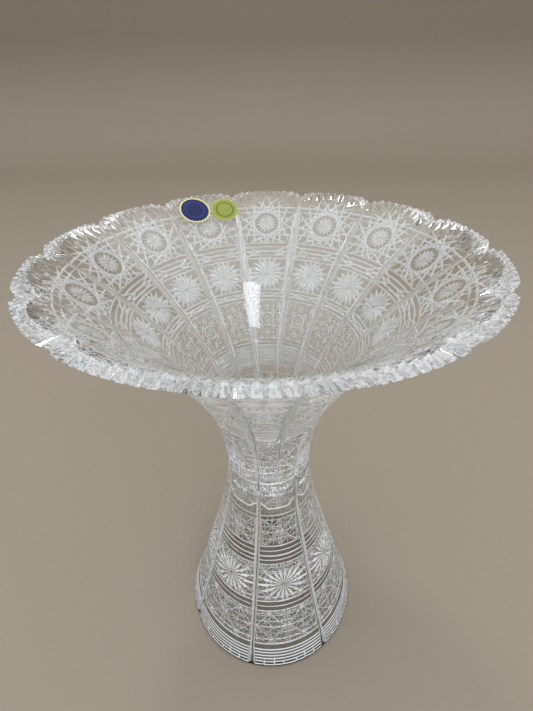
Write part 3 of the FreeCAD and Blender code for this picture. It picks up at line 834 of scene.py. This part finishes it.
def stand_cuts(form, settings):
    """Every cut of one stand panel, from the foot up to the waist."""
    cuts = Cuts(settings.steepness, form.stand, math.pi / settings.stand_panels,
                lambda y: stand_mitre(form, settings, y))
    up = form.stand.walk_to
    foot = up(form.foot_edge)
    pitch = settings.stand_ground_pitch / MM

    # Steps round the foot, and a few upright cuts across them.
    for k in range(settings.steps):
        cuts.level(foot + 1.6 + k * settings.step_pitch / MM, 0.6, over=1)
    for x, long in ((-21, 9), (-12, 4), (-3, 12), (6, 5), (14, 9), (23, 6)):
        y = foot + 1.0
        cuts.line((x, y), (0.93 * x, y + long), 0.7, 0, 0.5)

    # Fine ground above the foot.
    low, high = up(25), up(55)
    busy_ground(cuts, (0, (low + high) / 2), pitch, 32, cuts.between(low, high))
    cuts.finish = HAZY
    cuts.levels(((24.0, 0.7), (55.5, 0.6), (60.0, 0.45), (64.5, 0.6)))

    # A broad fan star.
    cuts.finish = GROUND
    middle = (0.0, up(80))
    cuts.flower(middle, 18, 0.8, oval(26, 17), 1.25)
    busy_ground(cuts, middle, pitch, 30, cuts.between(up(64.5), up(99.5), middle, 9))
    cuts.finish = HAZY
    cuts.levels(((99.5, 0.6), (103.5, 0.45), (107.5, 0.7), (112, 0.45), (116.5, 0.6)))

    # Fine star ground, then a plain belt.
    low, high = up(118), up(140)
    busy_ground(cuts, (0, (low + high) / 2), pitch, 24, cuts.between(low, high))
    cuts.finish = HAZY
    cuts.levels(((140.8, 0.5), (145, 0.5)))

    # Fine ground up to the waist, cut off at its lower corners.
    low, high = up(152), up(176.6)
    edge = cut_corners(cuts, low, 0.6)
    outline = edge + [(cuts.half_width(high), high), (-cuts.half_width(high), high)]
    busy_ground(cuts, (0, (low + high) / 2), settings.neck_pitch / MM, 20,
                lambda x, y: inside_outline(np.array([[x, y]]), outline)[0])
    for start, end in zip(edge, edge[1:]):
        cuts.line(start, end, 0.7)
    return cuts


def joined(first, second):
    """Two rows that share an end, as one."""
    return np.concatenate([first[0], second[0][1:]]), np.concatenate([first[1], second[1][1:]])


def bowl_wedge(form, settings):
    """One sector of the bowl, two panels wide: peg, seat, cut wall, saw-toothed rim and inside."""
    wide = 2 * form.half_turn
    wedge = Wedge(wide)
    spacing = settings.spacing / MM

    def mitre(y):
        return bowl_mitre(form, settings, y)

    split = form.bowl.walk_to(settings.split / MM)
    neck_top = split - BELT
    neck = Panel(form.bowl, settings.panels / 2, mitre, settings.mitre_steepness, 0.0,
                 lambda turn: neck_top, 8)
    low, neck_high = wedge.skin(neck, neck_cuts(form, settings), spacing)
    panel = Panel(form.bowl, settings.panels, mitre, settings.mitre_steepness, split,
                  form.rim_at, settings.teeth)
    cuts = bowl_cuts(form, settings)
    sides = [wedge.skin(panel, cuts, spacing, swing) for swing in (-form.half_turn, form.half_turn)]
    wedge.ladder([neck_high, joined(sides[0][0], sides[1][0])])
    peg = settings.peg / MM / 2
    foot = BOWL_LOW.z
    chamfer, columns = 0.8, 12
    wedge.ladder([wedge.round_row(0, foot, 0), wedge.round_row(peg - chamfer, foot, columns),
                  wedge.round_row(peg, foot + chamfer, columns),
                  wedge.round_row(peg, form.seam, columns), low], SHEEN)

    # The rim leans up from the outer edge, its inner edge broken by the same teeth.
    high = joined(sides[0][1], sides[1][1])
    turns = high[1]
    across = np.abs(np.abs(turns) - form.half_turn)
    nick = 0.5 + 0.5 * np.cos(math.pi * settings.teeth * (across / form.half_turn - 1 / settings.teeth))
    heights = np.array([form.scallop_at(turn) for turn in across])
    inner = form.inner
    lip_below, crest_below, crest_out = 0.25, 0.1, 0.35
    crest_bite, lip_bite, lip_in = 2.2, 2.0, 0.2
    walks = np.array([inner.walk_to(height - lip_below) for height in heights])
    spots = inner.at(walks)
    crest = wedge.add_points(turns, spots[:, 0] + crest_out,
                             heights - crest_below - crest_bite * nick), turns
    lip = wedge.add_points(turns, spots[:, 0] - lip_in * nick,
                           spots[:, 1] - lip_bite * nick), turns
    wedge.ladder([high, crest, lip], SHEEN)
    plain = walks.min() - 4.5
    rows = [lip]
    # Columns, the shares of the plain wall where they start and end, and how many rows.
    for columns, start, end, count in ((32, 1, 0.42, 12), (24, 0.4, 0.2, 9), (12, 0.18, 0.02, 8)):
        for share in np.linspace(start, end, count):
            radius, height = inner.at(plain * share)[0]
            rows.append(wedge.round_row(radius, height, columns))
    rows.append(wedge.round_row(0, settings.floor / MM, 0))
    wedge.ladder(rows)
    return wedge


def stand_wedge(form, settings):
    """One sector of the stand: hollow foot, cut wall, and the socket for the bowl's peg."""
    half_turn = math.pi / settings.stand_panels
    wedge = Wedge(half_turn)
    top = form.stand.length
    panel = Panel(form.stand, settings.stand_panels, lambda y: stand_mitre(form, settings, y),
                  settings.mitre_steepness, 0.0, lambda turn: top, 8)
    low, high = wedge.skin(panel, stand_cuts(form, settings), settings.spacing / MM)
    (foot_inner, _), (knee, knee_height) = form.stand_hollow
    neck = settings.stand_neck / MM
    clearance, under_peg, under_bowl, foot_flat = 0.3, 2, 0.08, 1.0
    socket = settings.peg / MM / 2 + clearance
    ledge = BOWL_LOW.z - under_peg
    seat = form.seam - under_bowl
    steps = 16
    rows = [high, wedge.round_row(socket, seat, steps), wedge.round_row(socket, ledge, steps),
            wedge.round_row(neck, ledge, steps)]
    wedge.ladder(rows, SHEEN)
    rows = rows[-1:]
    for share in np.linspace(0, 1, 5)[1:]:
        rows.append(wedge.round_row(neck + (knee - neck) * share,
                                    ledge + (knee_height - ledge) * share, steps))
    for share in np.linspace(0, 1, 9)[1:]:
        rows.append(wedge.round_row(knee + (foot_inner - knee) * share,
                                    knee_height * (1 - share), steps))
    rows += [wedge.row(low[1], form.foot - foot_flat, 0.0), low]
    wedge.ladder(rows)
    return wedge


def seal_piece(name, form, size, height, azimuth, material):
    """A foil disc with a scalloped edge and pressed rings, lying on the inside of the wall."""
    inner = form.inner
    middle = inner.walk_to(height)
    sides, scallops, bite, fill = 144, 24, 0.07, 0.995
    # Heights of the back, the plain front and the pressed rings above the glass.
    gap, thin, thick = 0.06, 0.11, 0.18
    shares = (0.0, 0.12, 0.3, 0.5, 0.555, 0.57, 0.64, 0.655, 0.76, 0.88, 0.9, 0.985, 1.0)
    raised = (0, 0, 0, 0, 0, 1, 1, 0, 0, 0, 1, 1, 0)
    points, shares_of, faces = [], [], []

    def spot(share, turn, lift):
        ripple = 1 - bite * share ** 6 * (1 + math.cos(scallops * turn)) / 2
        away = size / 2 * fill * share * ripple
        along = middle + away * math.cos(turn)
        place = inner.at(along)[0] - inner.normal([along])[0] * lift
        swing = azimuth + away * math.sin(turn) / inner.at(along)[0, 0]
        points.append((place[0] * math.cos(swing) * MM, place[0] * math.sin(swing) * MM,
                       place[1] * MM))
        shares_of.append(share)
        return len(points) - 1

    front_middle = spot(0, 0, thin)
    rings = [[spot(share, 2 * math.pi * k / sides, thick if up else thin) for k in range(sides)]
             for share, up in zip(shares[1:], raised[1:])]
    rings.append([spot(1.0, 2 * math.pi * k / sides, gap) for k in range(sides)])
    back_middle = spot(0, 0, gap)
    for k in range(sides):
        after = (k + 1) % sides
        faces.append((front_middle, rings[0][k], rings[0][after]))
        for inside, outside in zip(rings, rings[1:]):
            faces.append((inside[k], outside[k], outside[after], inside[after]))
        faces.append((rings[-1][k], back_middle, rings[-1][after]))
    mesh = bpy.data.meshes.new(name)
    mesh.from_pydata(points, [], faces)
    mesh.attributes.new("from_middle", "FLOAT", "POINT").data.foreach_set("value", shares_of)
    mesh.shade_smooth()
    mesh.set_sharp_from_angle(angle=FOIL_CREASE)
    mesh.materials.append(material)
    piece = add_object(name, mesh)
    print("%s: %d open edges" % (name, open_edges(mesh)))
    return piece


# ---------------------------------------------------------------- stage

def floor_paint(settings):
    """Matt paint on a board: to the eye an even tone that clear glass stands out from."""
    material, tree = new_material("Painted Studio Floor")
    place = add_node(tree, "ShaderNodeTexCoord").outputs["Object"]
    mottle = add_node(tree, "ShaderNodeTexNoise", Vector=place, Scale=6.0, Detail=2.0)
    rough = add_node(tree, "ShaderNodeMapRange", Value=mottle.outputs["Fac"],
                     To_Min=0.55, To_Max=0.7)
    paint = add_node(tree, "ShaderNodeBsdfPrincipled",
                     Base_Color=(*settings.floor_colour, 1.0), Roughness=rough.outputs[0])
    add_node(tree, "ShaderNodeOutputMaterial", Surface=paint.outputs[0])
    return material


def studio_floor(settings):
    """A floor that bends up into a plain backdrop."""
    front, back, bend, top, side = -2.5, 2.0, 0.6, 3.0, 3.5
    sweep = [(back + bend * math.sin(a), bend - bend * math.cos(a))
             for a in np.linspace(0, math.pi / 2, 12)]
    path = [(front, 0.0), (back, 0.0)] + sweep[1:] + [(back + bend, top)]
    points = [(x, y, z) for y, z in path for x in (-side, side)]
    faces = [(2 * i, 2 * i + 1, 2 * i + 3, 2 * i + 2) for i in range(len(path) - 1)]
    mesh = bpy.data.meshes.new("floor")
    mesh.from_pydata(points, [], faces)
    mesh.shade_smooth()
    mesh.materials.append(floor_paint(settings))
    return add_object("floor", mesh)


def soft_light(scene):
    """A soft dome, brighter overhead than at the horizon, and two lamps."""
    world = bpy.data.worlds.new("Studio")
    world.use_nodes = True
    sky = world.node_tree
    away = add_node(sky, "ShaderNodeTexCoord").outputs["Generated"]
    split = add_node(sky, "ShaderNodeSeparateXYZ", Vector=away)
    glow = add_node(sky, "ShaderNodeMapRange", Value=split.outputs["Z"],
                    From_Min=0.0, From_Max=0.9, To_Min=0.45, To_Max=1.9)
    background = sky.nodes["Background"]
    background.inputs["Color"].default_value = linear("F2F4F6")
    sky.links.new(glow.outputs[0], background.inputs["Strength"])
    scene.world = world
    scene.view_settings.view_transform = "Standard"
    # Name, place in metres, width and height, watts and colour.
    for name, place, size, power, code in (
            ("Window softbox", (0.40, -1.01, 1.40), (0.42, 0.6), 6.5, "EAF3FF"),
            ("High spark", (-0.3, 0.9, 2.2), (0.25, 0.25), 8, "FFFFFF")):
        light = bpy.data.lights.new(name, "AREA")
        light.shape, light.size, light.size_y = "RECTANGLE", *size
        light.energy, light.color = power, linear(code)[:3]
        lamp = add_object(name, light)
        lamp.location = place
        aim = Vector((0, 0, 0.2)) - Vector(place)
        lamp.rotation_euler = aim.to_track_quat("-Z", "Y").to_euler()


def place_camera(scene):
    """Looks down on the bowl from close by, turned and rolled a little."""
    pitch, roll, swing = 0.5064, -0.0203, 0.0219
    place = Vector((0.00076, -0.26142, 0.45134))
    across = Vector((1, 0, 0))
    ahead = Vector((0, math.cos(pitch), -math.sin(pitch)))
    down = Vector((0, -math.sin(pitch), -math.cos(pitch)))
    right = math.cos(roll) * across - math.sin(roll) * down
    below = math.sin(roll) * across + math.cos(roll) * down
    turn = Matrix.Rotation(swing, 3, "Z")
    basis = Matrix([turn @ right, turn @ -below, turn @ -ahead]).transposed()
    camera = bpy.data.cameras.new("camera")
    camera.lens, camera.sensor_width, camera.shift_y = 22.493, 36.0, -0.0606
    camera.clip_start = 0.01
    eye = add_object("camera", camera)
    eye.matrix_world = Matrix.Translation(turn @ place) @ basis.to_4x4()
    scene.camera = eye


# ---------------------------------------------------------------- settings

def length(name, text, millimetres):
    return FloatProperty(name=name, description=text, default=millimetres * MM,
                         subtype="DISTANCE", unit="LENGTH")


def number(name, text, amount):
    return FloatProperty(name=name, description=text, default=amount)


def colour(name, text, code):
    return FloatVectorProperty(name=name, description=text, default=linear(code)[:3],
                               subtype="COLOR", size=3, min=0, max=1)


class CrystalForm(bpy.types.PropertyGroup):
    waist: length("Waist", "Diameter where the bowl meets its stand", 66.4)
    rim_rise: length("Rim rise", "How far the rim's face climbs", 3)
    rim_run: length("Rim run", "Width of the rim's face", 6)
    scallop: length("Scallop", "Depth of the dips between scallops", 5.7)
    bowl_knee_rise: number("Bowl knee rise", "Where the wall starts to open", 0.40)
    bowl_knee_reach: number("Bowl knee reach", "How far it is open there", 0.155)
    stand_knee_rise: number("Stand knee rise", "Where the stand starts to open", 0.735)
    stand_knee_reach: number("Stand knee reach", "How far it is open there", 0.133)
    wall: length("Wall", "Level thickness of the wall at the inner knee", 12.8)
    inner_knee: length("Inner knee", "Height where the inside narrows", 262)
    inner_slope: FloatProperty(name="Inner slope", description="Slope of the inside there",
                               default=math.radians(58), subtype="ANGLE", unit="ROTATION")
    floor: length("Inside floor", "Height of the lowest point inside", 190)
    floor_radius: length("Floor radius", "Rounding of the inside floor", 24)
    peg: length("Peg", "Diameter of the peg under the bowl", 44)
    stand_wall: length("Stand wall", "Level thickness of the stand", 9)
    stand_neck: length("Stand neck", "Radius of the hollow under the socket", 25)
    foot_edge: length("Foot edge", "Height of the polished edge of the foot", 2.5)
    panels: IntProperty(name="Panels", description="Cut panels round the bowl", default=14)
    stand_panels: IntProperty(name="Stand panels", description="Cut panels round the stand", default=7)


class CrystalCuts(bpy.types.PropertyGroup):
    steepness: number("Steepness", "Depth of a cut for its half width", 1.0)
    mitre_steepness: number("Mitre steepness", "The same for the long cuts", 0.92)
    mitre: length("Mitre", "Width of the long cuts between bowl panels", 7.6)
    stand_mitre: length("Stand mitre", "Width of the long cuts between stand panels", 4.4)
    teeth: IntProperty(name="Teeth", description="Saw teeth in each scallop", default=10)
    tooth: length("Tooth", "Length of a saw tooth down the wall", 6)
    ring: length("Ring", "Diameter of the ring round the star's burst", 22)
    star: length("Star", "Diameter of the big star's tips", 58)
    small_ring: length("Small ring", "Diameter of the wheel in the fine ground", 10.4)
    ground_pitch: length("Ground pitch", "Spacing of the crossing cuts of the fine ground", 5.3)
    neck_pitch: length("Neck pitch", "The same round the waist", 6.2)
    stand_ground_pitch: length("Stand ground pitch", "The same on the stand", 5.8)
    split: length("Split", "Height where each pair of bowl panels becomes one", 229)
    hatch: length("Hatch", "Spacing of the close level cuts", 2.4)
    steps: IntProperty(name="Steps", description="Level steps round the foot", default=6)
    step_pitch: length("Step pitch", "Spacing of the steps", 3.0)
    spacing: length("Spacing", "Size of the plain facets between cuts", 5.6)


class CrystalFinish(bpy.types.PropertyGroup):
    glass_colour: colour("Glass", "Tint of the crystal", "FBFCFC")
    ior: number("IOR", "Refraction of the crystal", 1.545)
    frost: number("Frost", "Roughness of the whitest cuts", 0.45)
    clear: number("Clear", "Share of light the whitest cuts let through", 0.35)
    floor_colour: colour("Floor", "Colour of the floor and backdrop", "857A6B")


FORM, CUTS, FINISH = "crystal_form", "crystal_cuts", "crystal_finish"


def keys(group):
    """Names of a group's own settings."""
    return [key for key in group.bl_rna.properties.keys() if key not in ("rna_type", "name")]


def read(context, *names):
    """The settings of several groups as one simple object."""
    values = type("Values", (), {})()
    for name in names:
        group = getattr(context.scene, name)
        for key in keys(group):
            setattr(values, key, getattr(group, key))
    return values


# ---------------------------------------------------------------- operators

class CutBowl(bpy.types.Operator):
    """Cut the fourteen panels of the bowl and its saw-toothed rim"""
    bl_idname = "crystal.cut_bowl"
    bl_label = "Cut Bowl"

    def execute(self, context):
        settings = read(context, FORM, CUTS, FINISH)
        form = Form(settings)
        piece = turned_piece("crystal_bowl", bowl_wedge(form, settings), settings.panels // 2,
                             lead_crystal(settings))
        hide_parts("bowl")
        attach(piece, "bowl")
        return {"FINISHED"}


class CutStand(bpy.types.Operator):
    """Cut the seven panels of the stand and the steps of its foot"""
    bl_idname = "crystal.cut_stand"
    bl_label = "Cut Stand"

    def execute(self, context):
        settings = read(context, FORM, CUTS, FINISH)
        form = Form(settings)
        glass = bpy.data.materials.get("Lead Crystal") or lead_crystal(settings)
        piece = turned_piece("crystal_stand", stand_wedge(form, settings),
                             settings.stand_panels, glass)
        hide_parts("stand")
        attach(piece, "stand")
        return {"FINISHED"}


class LaySeals(bpy.types.Operator):
    """Lay the two foil seals on the inside of the bowl"""
    bl_idname = "crystal.lay_seals"
    bl_label = "Lay Seals"

    def execute(self, context):
        form = Form(read(context, FORM, CUTS, FINISH))
        seals = (("blue", 27, 346, 119.2, ("030E46", "16246E", "C9C58A")),
                 ("green", 24, 344, 107.3, ("7F8636", "464F22", "989D48")))
        for word, size, height, azimuth, codes in seals:
            piece = seal_piece("foil_seal_" + word, form, size, height, math.radians(azimuth),
                               seal_foil("Embossed Foil " + word.title(), *codes))
            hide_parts(word + "_seal")
            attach(piece, "bowl")
        return {"FINISHED"}


class SetStage(bpy.types.Operator):
    """Set the plain floor, the soft lights and the camera"""
    bl_idname = "crystal.set_stage"
    bl_label = "Set Stage"

    def execute(self, context):
        floor = studio_floor(read(context, FINISH))
        soft_light(context.scene)
        place_camera(context.scene)
        return {"FINISHED"}


class CrystalPanel(bpy.types.Panel):
    bl_idname = "VIEW3D_PT_crystal"
    bl_label = "Crystal Punch Bowl"
    bl_space_type = "VIEW_3D"
    bl_region_type = "UI"
    bl_category = "Crystal"

    def draw(self, context):
        for name in (FORM, CUTS, FINISH):
            group = getattr(context.scene, name)
            for key in keys(group):
                self.layout.prop(group, key)
        for operator in STEPS:
            self.layout.operator(operator.bl_idname)


STEPS = (CutBowl, CutStand, LaySeals, SetStage)
GROUPS = ((FORM, CrystalForm), (CUTS, CrystalCuts), (FINISH, CrystalFinish))


def register():
    for name, group in GROUPS:
        bpy.utils.register_class(group)
        setattr(bpy.types.Scene, name, PointerProperty(type=group))
    for operator in STEPS:
        bpy.utils.register_class(operator)
    bpy.utils.register_class(CrystalPanel)


def unregister():
    bpy.utils.unregister_class(CrystalPanel)
    for operator in reversed(STEPS):
        bpy.utils.unregister_class(operator)
    for name, group in reversed(GROUPS):
        delattr(bpy.types.Scene, name)
        bpy.utils.unregister_class(group)


def main():
    register()
    for operator in STEPS:
        group, name = operator.bl_idname.split(".")
        getattr(getattr(bpy.ops, group), name)()


if __name__ == "__main__":
    main()
